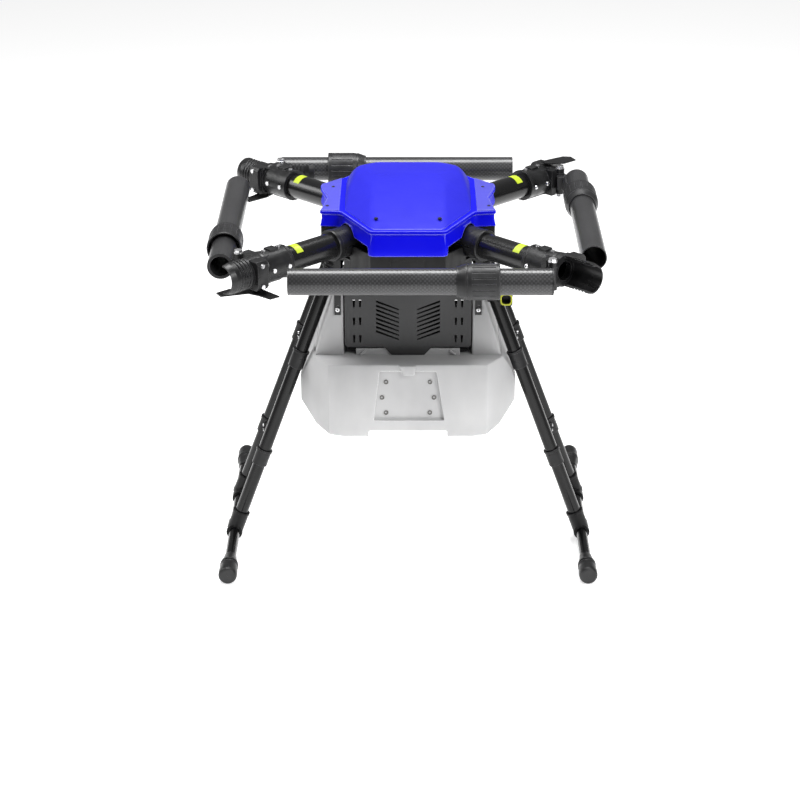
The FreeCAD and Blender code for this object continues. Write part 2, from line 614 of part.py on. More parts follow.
def leg_socket():
    """Ribbed casting under the hub that takes the top of a leg."""
    barrel = leg_piece(17.0, 0, 556.0, 606.0)
    ribs = [leg_piece(19.5, 0, z, z + 3.5) for z in (562.0, 571.0, 580.0, 589.0)]
    pad = box(127, 158, 44, 88, 604, PLATE_LOW)
    body = join([barrel, pad] + ribs)
    return body.cut(leg_piece(LEG_R + FIT, 0, 540.0, 596.5))


COUPLERS = ((375.0, 410.0), (165.0, 197.0))     # heights of the two on each leg
EAR_WIDTH, EAR_DEPTH = 9.0, 22.0


def coupler(low, high):
    """Split sleeve on a leg, with a rim at its top and a bolted ear towards the middle."""
    sleeve = leg_piece(15.5, 0, low, high)
    rim = leg_piece(16.8, 0, high - 4.0, high)
    centre = along_leg((low + high) / 2)
    ear = box(centre.x - EAR_WIDTH / 2, centre.x + EAR_WIDTH / 2, centre.y - EAR_DEPTH, centre.y,
              centre.z - 11, centre.z + 11)
    body = join([sleeve, rim, ear]).cut(leg_piece(LEG_R + FIT, 0, low - 1, high + 1))
    for bolt in ear_bolts(low, high, 0.05):
        body = body.cut(bolt)
    return body


def ear_bolts(low, high, slack):
    """The two bolts across a coupler's ear, with a head on each side."""
    centre = along_leg((low + high) / 2)
    bolts = []
    for rise in (-5.5, 5.5):
        y, z = centre.y - EAR_DEPTH + 3.5, centre.z + rise
        half = EAR_WIDTH / 2
        shank = cylinder(1.5 + slack, (centre.x - half - 1, y, z), (centre.x + half + 1, y, z))
        heads = [cylinder(3.0, (centre.x + side * half, y, z), (centre.x + side * (half + 2.4), y, z))
                 for side in (-1, 1)]
        bolts.append(shank if slack else join([shank] + heads))
    return bolts


def leg_tee():
    """Connector where a leg stands on its skid."""
    front, rear = LEG_FOOT.y - 28, LEG_FOOT.y + 15
    sleeve = cylinder(15.5, (SKID_X, front, SKID_Z), (SKID_X, rear, SKID_Z))
    end_rim = cylinder(16.4, (SKID_X, rear - 4, SKID_Z), (SKID_X, rear, SKID_Z))
    riser = leg_piece(16.5, 0, SKID_Z, 60.0)
    rim = leg_piece(17.6, 0, 56.0, 60.0)
    lug = box(SKID_X - 24, SKID_X - 14, LEG_FOOT.y - 4, LEG_FOOT.y + 4, 36, 50)
    body = join([sleeve, end_rim, riser, rim, lug])
    body = body.cut(leg_piece(LEG_R + FIT, 0, 39.5, 95.0))
    return body.cut(cylinder(SKID_R + FIT, (SKID_X, front - 1, SKID_Z), (SKID_X, rear + 1, SKID_Z)))


def skid():
    return pipe(SKID_R, SKID_R - LEG_WALL, (SKID_X, -SKID_HALF + 4, SKID_Z), (SKID_X, SKID_HALF - 4, SKID_Z))


def skid_cap():
    """Rubber end of a skid, at the rear right: a flared neck, a groove and a round-edged barrel."""
    neck, groove = SKID_HALF - 85.0, SKID_HALF - 46.0
    profile = [(neck, SKID_R + FIT), (neck, 12.2), (neck + 6, 12.6), (groove - 5, 17.2), (groove, 17.4),
               (groove, 15.8), (groove + 2.5, 15.8), (groove + 2.5, SKID_CAP_R - 0.7), (SKID_HALF - 10, SKID_CAP_R),
               (SKID_HALF - 3, SKID_CAP_R - 1), (SKID_HALF - 0.6, 16.0), (SKID_HALF - 0.6, 14.6), (SKID_HALF, 14.2),
               (SKID_HALF, 0.0), (SKID_HALF - 3.5, 0.0), (SKID_HALF - 3.5, SKID_R + FIT)]
    cap = turned(profile)
    cap.rotate(ORIGIN, Z_AXIS, 90)
    cap.translate(Vector(SKID_X, 0, SKID_Z))
    return cap


# ---- writing ------------------------------------------------------------------------
def write_arms():
    for corner, angle in ARM_ANGLES.items():
        save("stub_tube_" + corner, at_corner(stub_tube(), angle))
        save("fixed_joint_" + corner, at_corner(fixed_joint(), angle))
        save("arm_tube_" + corner, at_corner(arm_tube(), angle, folded=True))
        save("swing_joint_" + corner, at_corner(swing_joint(), angle, folded=True))
        save("collar_ring_" + corner, at_corner(collar_ring(), angle, folded=True))
        save("lock_nut_" + corner, at_corner(lock_nut(), angle, folded=True))
    save("guide_plates", group([at_corner(low_guide_plate(), ARM_ANGLES["front_left"]),
                                at_corner(low_guide_plate(), ARM_ANGLES["rear_left"]),
                                at_corner(high_guide_plate(), ARM_ANGLES["rear_right"])]))
    angles = list(ARM_ANGLES.values())
    save("root_clamps", group(at_corner(root_clamp(), angle) for angle in angles))
    save("hinge_pins", group(at_corner(hinge_pin(), angle) for angle in angles))
    # on the left arms the tape leans the other way, so that it always leans to the front
    save("reflective_bands", group(at_corner(reflective_band(-20 if "left" in corner else 20), angle)
                                   for corner, angle in ARM_ANGLES.items()))
    save("joint_screws", group(at_corner(screw, angle) for angle in angles for screw in joint_screws()))


def write_hub():
    save("hub_lower_plate", hub_plate(HUB_OUTLINE, PLATE_LOW, PLATE_LOW + LOWER_PLATE, [(-50, 50, -60, 60)]))
    save("hub_upper_plate", hub_plate(UPPER_OUTLINE, PLATE_HIGH, PLATE_HIGH + UPPER_PLATE,
                                     [(-40, 40, -120, -70), (-40, 40, 70, 120)]))
    save("canopy", canopy())
    save("canopy_screws", group(canopy_screws()))
    save("front_cover", end_cover(front=True))
    save("rear_cover", end_cover(front=False))
    save("side_covers", group([side_cover(), mirrored_x(side_cover())]))
    save("battery_front_plate", battery_front_plate(SHOULDER_FRONT - 3, SHOULDER_FRONT))
    save("battery_sill", battery_sill())
    save("battery_tray", battery_tray())
    save("power_board", box(-55, 55, -66, 66, 628, 631))
    save("power_connector", power_connector())
    save("connector_rim", connector_rim())


def write_tank():
    write_tank_shells()
    save("tank_inserts", group(tank_inserts()))
    save("filler_neck", filler_neck())
    save("filler_cap", filler_cap())
    save("tank_outlet", tank_outlet())
    save("tank_brackets", group([tank_bracket(), mirrored_x(tank_bracket())]))


def write_landing_gear():
    names = ["rear_right", "front_right", "rear_left", "front_left"]
    for corner, piece in zip(names, four_corners(leg_tube())):
        save("leg_tube_" + corner, piece)
    save("leg_sockets", group(four_corners(leg_socket())))
    save("leg_couplers", group(piece for heights in COUPLERS for piece in four_corners(coupler(*heights))))
    bolts = [bolt for heights in COUPLERS for bolt in ear_bolts(*heights, 0.0)]
    save("coupler_bolts", group(piece for bolt in bolts for piece in four_corners(bolt)))
    save("leg_tees", group(four_corners(leg_tee())))
    save("skid_right", skid())
    save("skid_left", mirrored_x(skid()))
    save("skid_caps", group(four_corners(skid_cap())))


os.makedirs(PARTS, exist_ok=True)
write_arms()
write_hub()
write_tank()
write_landing_gear()
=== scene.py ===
"""Folding frame of a spray drone: studio, materials and finished pieces round the CAD frame.

Metres, in the CAD model's own frame: +Z up, -Y the front, the origin on the ground.
"""
import json
import math

import bmesh
import bpy
from mathutils import Matrix, Vector


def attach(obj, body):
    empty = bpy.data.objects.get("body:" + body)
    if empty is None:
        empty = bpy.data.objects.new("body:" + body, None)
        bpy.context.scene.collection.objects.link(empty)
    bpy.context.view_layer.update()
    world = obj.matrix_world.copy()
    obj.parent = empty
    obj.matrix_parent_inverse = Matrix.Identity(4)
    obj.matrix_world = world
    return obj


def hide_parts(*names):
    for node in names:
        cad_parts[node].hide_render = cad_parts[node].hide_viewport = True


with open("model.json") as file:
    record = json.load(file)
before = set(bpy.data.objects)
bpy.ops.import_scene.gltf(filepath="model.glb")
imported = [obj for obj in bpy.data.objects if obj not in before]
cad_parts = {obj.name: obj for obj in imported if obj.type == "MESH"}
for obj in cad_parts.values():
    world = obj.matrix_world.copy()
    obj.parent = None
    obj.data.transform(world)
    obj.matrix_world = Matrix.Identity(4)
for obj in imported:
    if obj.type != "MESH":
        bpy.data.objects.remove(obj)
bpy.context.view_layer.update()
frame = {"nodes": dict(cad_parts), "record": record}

MM = 0.001
CORNERS = ("front_right", "rear_right", "rear_left", "front_left")
SHARP = math.radians(32)        # edges between faces that turn by more stay sharp


# ---- camera, light and floor --------------------------------------------------------
FLOOR_HALF, FLOOR_DROP = 7.0, 0.0005


def make_camera():
    data = bpy.data.cameras.new("camera")
    data.lens = 102.2
    data.shift_x = -0.01
    camera = bpy.data.objects.new("camera", data)
    camera.location = (0, -4.3, 2.088)
    camera.rotation_euler = (math.radians(67.08), 0, 0)
    bpy.context.scene.collection.objects.link(camera)
    bpy.context.scene.camera = camera


def make_light(name, place, target, size, power):
    data = bpy.data.lights.new(name, "AREA")
    data.shape = "RECTANGLE"
    data.size, data.size_y = size
    data.energy = power
    light = bpy.data.objects.new(name, data)
    light.location = place
    light.rotation_euler = (Vector(target) - Vector(place)).to_track_quat("-Z", "Y").to_euler()
    bpy.context.scene.collection.objects.link(light)


def make_studio():
    world = bpy.data.worlds.new("studio")
    bpy.context.scene.world = world
    world.use_nodes = True
    background = world.node_tree.nodes["Background"]
    background.inputs["Color"].default_value = (1, 1, 1, 1)
    background.inputs["Strength"].default_value = 0.22
    make_light("key", (1.9, -2.4, 2.7), (0, 0, 0.45), (1.1, 1.1), 85)
    make_light("overhead", (-0.2, 0.5, 3.0), (0, 0, 0.6), (2.2, 1.0), 95)
    make_light("rim", (-2.6, 0.6, 1.9), (0, 0, 0.6), (0.6, 1.6), 24)
    bpy.context.scene.view_settings.view_transform = "Standard"


def make_floor():
    """Pale floor, lit a little from within, so that it reads as a white studio floor."""
    mesh = bpy.data.meshes.new("floor")
    shape = bmesh.new()
    bmesh.ops.create_grid(shape, x_segments=8, y_segments=8, size=FLOOR_HALF)
    shape.to_mesh(mesh)
    shape.free()
    floor = bpy.data.objects.new("floor", mesh)
    bpy.context.scene.collection.objects.link(floor)
    floor.location.z = -FLOOR_DROP
    paint = bpy.data.materials.new("floor_paint")
    paint.use_nodes = True
    shader = paint.node_tree.nodes["Principled BSDF"]
    shader.inputs["Base Color"].default_value = (0.90, 0.90, 0.90, 1)
    shader.inputs["Emission Color"].default_value = (1, 1, 1, 1)
    shader.inputs["Emission Strength"].default_value = 0.62
    shader.inputs["Roughness"].default_value = 0.9
    shader.inputs["Specular IOR Level"].default_value = 0.1
    mesh.materials.append(paint)


# ---- materials ----------------------------------------------------------------------
NOISE_RANGE = (0.3, 0.7)
WEAVE_DEPTH = 0.00012


class Nodes:
    """Builds one node material: each method adds a node and returns its output."""

    def __init__(self, name, color, roughness, **sockets):
        self.material = bpy.data.materials.new(name)
        self.material.use_nodes = True
        self.tree = self.material.node_tree
        self.shader = self.tree.nodes["Principled BSDF"]
        self.rounded = None
        self.shader.inputs["Base Color"].default_value = (*color, 1)
        self.shader.inputs["Roughness"].default_value = roughness
        for socket, value in sockets.items():
            self.shader.inputs[socket.replace("_", " ")].default_value = value

    def add(self, kind, **settings):
        node = self.tree.nodes.new(kind)
        for key, value in settings.items():
            setattr(node, key, value)
        return node

    def feed(self, socket, value):
        if isinstance(value, bpy.types.NodeSocket):
            self.tree.links.new(value, socket)
        else:
            socket.default_value = value

    def math(self, operation, *values):
        node = self.add("ShaderNodeMath", operation=operation)
        for socket, value in zip(node.inputs, values):
            self.feed(socket, value)
        return node.outputs[0]

    def coordinate(self, output="Object"):
        return self.add("ShaderNodeTexCoord").outputs[output]

    def axis(self, vector, letter):
        node = self.add("ShaderNodeSeparateXYZ")
        self.feed(node.inputs[0], vector)
        return node.outputs[letter]

    def noise(self, scale, detail=4.0, stretch=(1, 1, 1)):
        place = self.add("ShaderNodeMapping")
        self.feed(place.inputs["Vector"], self.coordinate())
        place.inputs["Scale"].default_value = stretch
        node = self.add("ShaderNodeTexNoise")
        self.feed(node.inputs["Vector"], place.outputs[0])
        node.inputs["Scale"].default_value = scale
        node.inputs["Detail"].default_value = detail
        return node.outputs["Fac"]

    def clouds(self, scale, detail=4.0, low=0.0, high=1.0):
        """Noise with its usual range, 0.3 to 0.7, spread from low to high."""
        return self.spread(self.noise(scale, detail), low, high, *NOISE_RANGE)

    def spread(self, value, low, high, from_low=0.0, from_high=1.0):
        node = self.add("ShaderNodeMapRange")
        for socket, number in zip(node.inputs, (value, from_low, from_high, low, high)):
            self.feed(socket, number)
        return node.outputs[0]

    def blend_colors(self, factor, first, second):
        node = self.add("ShaderNodeMix", data_type="RGBA")
        self.feed(node.inputs[0], factor)
        for socket, color in zip((node.inputs[6], node.inputs[7]), (first, second)):
            self.feed(socket, color if isinstance(color, bpy.types.NodeSocket) else (*color, 1))
        return node.outputs[2]

    def round_edges(self, radius):
        """Softens every edge by the radius; returns a mask that is 1 along the edges."""
        bevel = self.add("ShaderNodeBevel", samples=4)
        bevel.inputs["Radius"].default_value = radius
        self.rounded = bevel.outputs[0]
        turned = self.add("ShaderNodeVectorMath", operation="DOT_PRODUCT")
        self.feed(turned.inputs[0], self.rounded)
        self.feed(turned.inputs[1], self.add("ShaderNodeNewGeometry").outputs["Normal"])
        return self.spread(turned.outputs["Value"], 1.0, 0.0, 0.86, 0.985)

    def set(self, socket, value):
        self.feed(self.shader.inputs[socket], value)

    def bump(self, height, distance, strength=1.0):
        node = self.add("ShaderNodeBump")
        node.inputs["Strength"].default_value = strength
        node.inputs["Distance"].default_value = distance
        self.feed(node.inputs["Height"], height)
        if self.rounded:
            self.feed(node.inputs["Normal"], self.rounded)
        self.set("Normal", node.outputs[0])


def weave(nodes, across, along, tow):
    """Plain weave: which tow is on top, and the height of its round back."""
    u, v = nodes.math("DIVIDE", across, tow), nodes.math("DIVIDE", along, tow)
    step = nodes.math("ADD", nodes.math("FLOOR", u), nodes.math("FLOOR", v))
    warp = nodes.math("LESS_THAN", nodes.math("FLOORED_MODULO", step, 2.0), 1.0)
    def back(value):
        return nodes.math("SINE", nodes.math("MULTIPLY", nodes.math("FRACT", value), math.pi))
    height = nodes.math("ADD", nodes.math("MULTIPLY", warp, back(u)),
                        nodes.math("MULTIPLY", nodes.math("SUBTRACT", 1.0, warp), back(v)))
    return warp, height


def carbon(name, output, first, second, tow, dark, light, roughness, coat, depth=WEAVE_DEPTH, gloss=0.5):
    """Woven carbon under resin; first and second are the axes of the weave."""
    nodes = Nodes(name, dark, roughness, Coat_Weight=coat, Coat_Roughness=0.12, Specular_IOR_Level=gloss)
    place = nodes.coordinate(output)
    warp, height = weave(nodes, nodes.axis(place, first), nodes.axis(place, second), tow)
    pattern = nodes.math("ADD", nodes.math("MULTIPLY", warp, 0.6), nodes.math("MULTIPLY", height, 0.4))
    shade = nodes.math("MULTIPLY", pattern, nodes.clouds(14.0, 5.0, 0.7, 1.25))
    nodes.set("Base Color", nodes.blend_colors(shade, dark, light))
    share = depth / WEAVE_DEPTH
    nodes.set("Roughness", nodes.spread(warp, roughness - 0.06 * share, roughness + 0.08 * share))
    nodes.bump(height, depth, 0.5)
    return nodes.material


def alloy(name, color, edge, roughness, grain, metallic=0.0, radius=0.0011, mottle=0.16):
    """Anodised or powder-coated casting: fine grain, cloudy gloss, and edges rubbed lighter."""
    nodes = Nodes(name, color, roughness, Metallic=metallic, Specular_IOR_Level=0.35)
    edges = nodes.round_edges(radius)
    cloud, speckle = nodes.noise(35.0, 5.0), nodes.noise(grain, 3.0)
    rubbed = nodes.math("MULTIPLY", edges, nodes.spread(cloud, 0.35, 1.0, 0.35, 0.65))
    varied = nodes.blend_colors(nodes.spread(cloud, 0.0, mottle, *NOISE_RANGE), color, edge)
    nodes.set("Base Color", nodes.blend_colors(rubbed, varied, edge))
    nodes.set("Roughness", nodes.clouds(60.0, 6.0, roughness - 0.1, roughness + 0.12))
    nodes.bump(speckle, 0.00008, 0.6)
    return nodes.material


def moulded(name, color, light, roughness, grain, depth=0.00006, **sockets):
    """Moulded plastic or rubber with a fine grain and slight unevenness of shade."""
    nodes = Nodes(name, color, roughness, **sockets)
    edges = nodes.round_edges(0.0012)
    scuff = nodes.noise(90.0, 8.0, (1, 1, 0.25))
    varied = nodes.blend_colors(nodes.clouds(12.0, 5.0), color, light)
    worn = tuple(min(1.0, 1.8 * value + 0.02) for value in light)
    nodes.set("Base Color", nodes.blend_colors(nodes.math("MULTIPLY", edges, 0.6), varied, worn))
    nodes.set("Roughness", nodes.spread(scuff, roughness - 0.08, roughness + 0.1, 0.35, 0.65))
    nodes.bump(nodes.noise(grain, 3.0), depth, 0.7)
    return nodes.material


def steel():
    nodes = Nodes("bolt_steel", (0.75, 0.75, 0.76), 0.25, Metallic=1.0)
    nodes.round_edges(0.0005)
    turned = nodes.noise(900.0, 2.0, (1, 1, 0.1))
    nodes.set("Roughness", nodes.spread(turned, 0.18, 0.42, *NOISE_RANGE))
    nodes.set("Base Color", nodes.blend_colors(nodes.noise(120.0), (0.68, 0.68, 0.69), (0.86, 0.86, 0.87)))
    nodes.bump(turned, 0.00003, 0.5)
    return nodes.material


def blue_paint(name, painted_white_sheen, blue, gloss):
    """Gloss blue paint over a slightly uneven shell, with painted highlights as light lines along its edges;
    painted_white_sheen adds white to it as painted sheen.
    """
    nodes = Nodes(name, (painted_white_sheen, painted_white_sheen, blue), 0.30, Specular_IOR_Level=gloss)
    edges = nodes.round_edges(0.0026)
    shades = [(painted_white_sheen + white, painted_white_sheen + white, blue * depth) for white, depth in ((0.0, 0.88), (0.004, 1.04))]
    base = nodes.blend_colors(nodes.clouds(6.0), *shades)
    # Painted highlight: edges blended to a pale blue, as light lines along the rims.
    nodes.set("Base Color", nodes.blend_colors(nodes.math("MULTIPLY", edges, 0.85), base, (0.42, 0.42, 1.0)))
    nodes.set("Roughness", nodes.clouds(70.0, 6.0, 0.32, 0.40))
    nodes.bump(nodes.noise(40.0, 2.0), 0.00004, 0.15)
    return nodes.material


def tape():
    """Reflective strip with a fine honeycomb of beads, and a faint painted glow for the light it reflects."""
    nodes = Nodes("reflective_tape", (0.55, 0.66, 0.04), 0.35)
    cells = nodes.add("ShaderNodeTexVoronoi")
    cells.inputs["Scale"].default_value = 450.0
    nodes.feed(cells.inputs["Vector"], nodes.coordinate())
    beads = nodes.blend_colors(cells.outputs["Distance"], (0.50, 0.60, 0.035), (0.36, 0.46, 0.02))
    nodes.set("Base Color", beads)
    # Painted glow: faint emission standing in for light the strip reflects.
    nodes.shader.inputs["Emission Color"].default_value = (0.7, 0.95, 0.05, 1)
    nodes.shader.inputs["Emission Strength"].default_value = 0.06
    nodes.bump(cells.outputs["Distance"], 0.0001, 0.4)
    return nodes.material


def tank_plastic():
    """Milky polyethylene: cloudy wall, soft light inside, faint flow marks, painted shade that darkens it
    towards its top, and painted highlights along its edges.
    """
    nodes = Nodes("tank_plastic", (0.72, 0.72, 0.725), 0.42, Subsurface_Weight=0.25, Subsurface_Scale=0.02)
    nodes.shader.inputs["Subsurface Radius"].default_value = (1.0, 1.0, 1.0)
    edges = nodes.round_edges(0.0022)
    cloud = nodes.noise(7.0, 5.0)
    flow = nodes.noise(26.0, 6.0, (1, 1, 0.3))
    mix = nodes.math("ADD", nodes.math("MULTIPLY", cloud, 0.65), nodes.math("MULTIPLY", flow, 0.35))
    milky = nodes.spread(mix, 0.0, 1.0, *NOISE_RANGE)
    wall = nodes.blend_colors(milky, (0.47, 0.47, 0.475), (0.60, 0.60, 0.60))
    # Painted shade: the wall blended darker towards its top.
    rise = nodes.spread(nodes.axis(nodes.coordinate(), "Z"), 0.0, 0.55, 0.30, 0.50)
    shaded = nodes.blend_colors(rise, wall, (0.26, 0.26, 0.265))
    # Painted highlight: edges blended towards white, as light lines along them.
    painted_edge_highlight = nodes.math("MULTIPLY", edges, 0.8)
    nodes.set("Base Color", nodes.blend_colors(painted_edge_highlight, shaded, (0.95, 0.95, 0.95)))
    nodes.set("Roughness", nodes.spread(flow, 0.34, 0.52, *NOISE_RANGE))
    nodes.bump(flow, 0.0006, 0.25)
    return nodes.material


def grey(value):
    """Neutral black or grey with a trace of blue."""
    return (value, value, value * 1.05)


def make_materials():
    """One material for each slot, variants of the tube's carbon, and lighter copies of the blue for the dome
    and lobes, with painted sheen and painted highlight.
    """
    tube = {"output": "UV", "first": "X", "second": "Y"}
    fine = {"tow": 0.0012, "depth": 0.00001}
    return {
        "carbon_tube": carbon("carbon_tube", **tube, tow=0.004, dark=grey(0.004), light=grey(0.048),
                              roughness=0.34, coat=0.3),
        "stub_carbon": carbon("stub_carbon", **tube, **fine, dark=grey(0.003), light=grey(0.007),
                              roughness=0.26, coat=0.2, gloss=0.35),
        "leg_carbon": carbon("leg_carbon", **tube, **fine, dark=grey(0.002), light=grey(0.004),
                             roughness=0.20, coat=0.1, gloss=0.3),
        "carbon_plate": carbon("carbon_plate", "Object", "X", "Z", tow=0.002, dark=grey(0.016),
                               light=grey(0.026), roughness=0.5, coat=0.1),
        "black_alloy": alloy("black_alloy", grey(0.006), grey(0.13), 0.34, 1400.0, mottle=0.08),
        "grey_alloy": alloy("grey_alloy", grey(0.011), grey(0.16), 0.38, 1400.0, mottle=0.10),
        "bolt_steel": steel(),
        "blue_shell": blue_paint("blue_shell", painted_white_sheen=0.001, blue=0.74, gloss=0.14),
        # Dome: a whiter copy of the blue, with painted sheen for its lit top.
        "dome_blue_painted_sheen": blue_paint("dome_blue_painted_sheen", painted_white_sheen=0.012, blue=0.52, gloss=0.28),
        # Lobes: a paler copy still, with painted highlight on their tops.
        "lobe_blue_painted_highlight": blue_paint("lobe_blue_painted_highlight", painted_white_sheen=0.070, blue=0.52, gloss=0.3),
        "black_plastic": moulded("black_plastic", grey(0.004), grey(0.010), 0.42, 1100.0,
                                 Specular_IOR_Level=0.25),
        "tank_plastic": tank_plastic(),
        "cap_plastic": moulded("cap_plastic", grey(0.020), grey(0.035), 0.38, 900.0),
        "rubber_cap": moulded("rubber_cap", grey(0.005), grey(0.013), 0.4, 700.0, 0.0001),
        "reflective_tape": tape(),
        "circuit_board": moulded("circuit_board", (0.01, 0.07, 0.03), (0.02, 0.11, 0.05), 0.35, 600.0),
        "connector_yellow": moulded("connector_yellow", (0.42, 0.44, 0.015), (0.50, 0.52, 0.02), 0.35, 900.0),
        "insert_metal": alloy("insert_metal", (0.10, 0.10, 0.095), (0.3, 0.29, 0.27), 0.38, 900.0,
                              metallic=1.0),
    }


# ---- mesh helpers -------------------------------------------------------------------
def finished(name, shape, material, body, replaces=()):
    """Turns a bmesh in millimetres into an object that rides on a body of the frame."""
    bmesh.ops.scale(shape, vec=(MM, MM, MM), verts=shape.verts)
    bmesh.ops.recalc_face_normals(shape, faces=shape.faces)
    mesh = bpy.data.meshes.new(name)
    shape.to_mesh(mesh)
    shape.free()
    mesh.shade_smooth()
    mesh.set_sharp_from_angle(angle=SHARP)
    mesh.materials.append(MATERIALS[material])
    piece = bpy.data.objects.new(name, mesh)
    bpy.context.scene.collection.objects.link(piece)
    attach(piece, body)
    if replaces:
        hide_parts(*replaces)
    return piece


def revolve(shape, profile, matrix, segments=72):
    """Adds a ring-shaped piece round the x axis, from a closed profile, with its UVs in metres."""
    uv = shape.loops.layers.uv.verify()
    wide = max(radius for _, radius in profile)
    rings = []
    for i in range(segments):
        angle = math.tau * i / segments
        rings.append([shape.verts.new(matrix @ Vector((x, r * math.cos(angle), r * math.sin(angle))))
                      for x, r in profile])
    runs = [0.0]
    for (x0, r0), (x1, r1) in zip(profile, profile[1:] + profile[:1]):
        runs.append(runs[-1] + math.hypot(x1 - x0, r1 - r0))
    for i in range(segments):
        here, there = rings[i], rings[(i + 1) % segments]
        for j in range(len(profile)):
            k = (j + 1) % len(profile)
            face = shape.faces.new((here[j], here[k], there[k], there[j]))
            places = [(i, runs[j]), (i, runs[j + 1]), (i + 1, runs[j + 1]), (i + 1, runs[j])]
            for loop, (turn, run) in zip(face.loops, places):
                loop[uv].uv = (math.tau * turn / segments * wide * MM, run * MM)


def tube_profile(start, end, outer, inner, edge=0.5):
    return [(start + edge, outer), (end - edge, outer), (end, outer - edge), (end, inner + edge),
            (end - edge, inner), (start + edge, inner), (start, inner + edge), (start, outer - edge)]


def close_prism(shape, near, far):
    """Faces of a prism between two rings of as many corners."""
    shape.faces.new(near)
    shape.faces.new(far)
    for i in range(len(near)):
        j = (i + 1) % len(near)
        shape.faces.new((near[i], near[j], far[j], far[i]))


def prism(shape, outline, low, high):
    """Closed prism on a level outline."""
    close_prism(shape, *([shape.verts.new((x, y, z)) for x, y in outline] for z in (low, high)))


def side_prism(shape, outline, front, rear):
    """Closed prism on an outline of x and z, from one y to another."""
    close_prism(shape, *([shape.verts.new((x, y, z)) for x, z in outline] for y in (front, rear)))


def soften(shape, offset, segments=3, least=12.0):
    """Bevels every edge of a bmesh that is sharper than an angle."""
    bmesh.ops.recalc_face_normals(shape, faces=shape.faces)
    edges = [edge for edge in shape.edges
             if edge.is_manifold and math.degrees(edge.calc_face_angle(0.0)) > least]
    bmesh.ops.bevel(shape, geom=edges, offset=offset, segments=segments, profile=0.5,
                    affect="EDGES", clamp_overlap=True)


def whole(right_half):
    """Closed outline from the points of its right-hand half."""
    return right_half + [(-x, y) for x, y in reversed(right_half)]


def side_name(side):
    return "right" if side > 0 else "left"


# ---- tubes --------------------------------------------------------------------------
AXIS_Z = 656.0
TUBE_R, TUBE_IN = 25.0, 23.0
ROOT_R, CLAMP_END = 132.0, 400.0            # ends of the short tubes, from the hub's centre
JOINT_R, MOUTH, TUBE_END = 415.0, 3.0, 906.0  # joint plane, ring at it, and open end of a straight arm
PIVOT_SIDE = 35.0
ARM_ANGLES = {"front_right": -45.0, "rear_right": 45.0, "rear_left": 135.0, "front_left": 225.0}
FOLD_DEG = -135.0
LEG_FOOT, LEG_TOP = Vector((357.0, 88.0, 18.5)), Vector((143.0, 65.0, 600.0))
LEG_HEIGHTS, LEG_R, LEG_WALL = (40.0, 596.0), 13.0, 1.5
SKID_X, SKID_Z, SKID_HALF, SKID_R = 357.0, 18.5, 297.0, 11.0


def arm_matrix(corner, folded=False):
    """From an arm's own frame, x along the arm, to its corner of the drone."""
    place = Matrix.Translation((0, 0, AXIS_Z)) @ Matrix.Rotation(math.radians(ARM_ANGLES[corner]), 4, "Z")
    if folded:
        pin = Matrix.Translation((JOINT_R, -PIVOT_SIDE, 0))
        place = place @ pin @ Matrix.Rotation(math.radians(FOLD_DEG), 4, "Z") @ pin.inverted()
    return place


def along(start, end):
    """Matrix that lays the x axis from one point towards another."""
    return Matrix.Translation(start) @ (end - start).to_track_quat("X", "Z").to_matrix().to_4x4()


def make_tubes():
    for corner in CORNERS:
        shape = bmesh.new()
        revolve(shape, tube_profile(JOINT_R + MOUTH, TUBE_END, TUBE_R, TUBE_IN), arm_matrix(corner, True), 96)
        finished("arm_weave_" + corner, shape, "carbon_tube", "arm_" + corner, ["arm_tube_" + corner])
        shape = bmesh.new()
        revolve(shape, tube_profile(ROOT_R, CLAMP_END, TUBE_R, TUBE_IN), arm_matrix(corner), 96)
        finished("stub_weave_" + corner, shape, "stub_carbon", "frame", ["stub_tube_" + corner])
    slope = (LEG_TOP - LEG_FOOT) / (LEG_TOP.z - LEG_FOOT.z)
    for corner in CORNERS:
        flip = Matrix.Diagonal((1 if "right" in corner else -1, 1 if "rear" in corner else -1, 1, 1))
        low, high = (flip @ (LEG_FOOT + slope * (z - LEG_FOOT.z)) for z in LEG_HEIGHTS)
        shape = bmesh.new()
        revolve(shape, tube_profile(0.0, (high - low).length, LEG_R, LEG_R - LEG_WALL), along(low, high), 64)
        finished("leg_weave_" + corner, shape, "leg_carbon", "frame", ["leg_tube_" + corner])
    for side, name in ((-1, "left"), (1, "right")):
        shape = bmesh.new()
        front, rear = (Vector((side * SKID_X, y, SKID_Z)) for y in (-SKID_HALF, SKID_HALF))
        revolve(shape, tube_profile(0.0, SKID_HALF * 2, SKID_R, SKID_R - LEG_WALL), along(front, rear), 64)
        finished("skid_weave_" + name, shape, "leg_carbon", "frame", ["skid_" + name])


# ---- canopy -------------------------------------------------------------------------
LOBE_HALF = [(131, -90), (173, -86), (168, -62), (160, -3), (174, 57), (176, 84), (160, 98), (131, 128)]
SKIRT_HALF = [(72, -212)] + LOBE_HALF + [(72, 212)]
DOME_LEVELS = [(705.5, [(70, -206), (126, -86), (127, 90), (72, 190)]),
               (724.0, [(70, -112), (119, 0), (118, 92), (68, 158)]),
               (739.0, [(70, -22), (107, 56), (105, 98), (64, 130)]),
               (745.0, [(66, 34), (92, 76), (91, 94), (60, 108)])]
PASSAGE_R, PASSAGE_FROM = 33.0, 120.0           # opening round each arm's root
SKIRT_LOW, LOBE_LOW, LOBE_ROOT = 655.0, 674.0, 133.0
SKIRT_END = 212.0                               # the skirt's front and rear faces


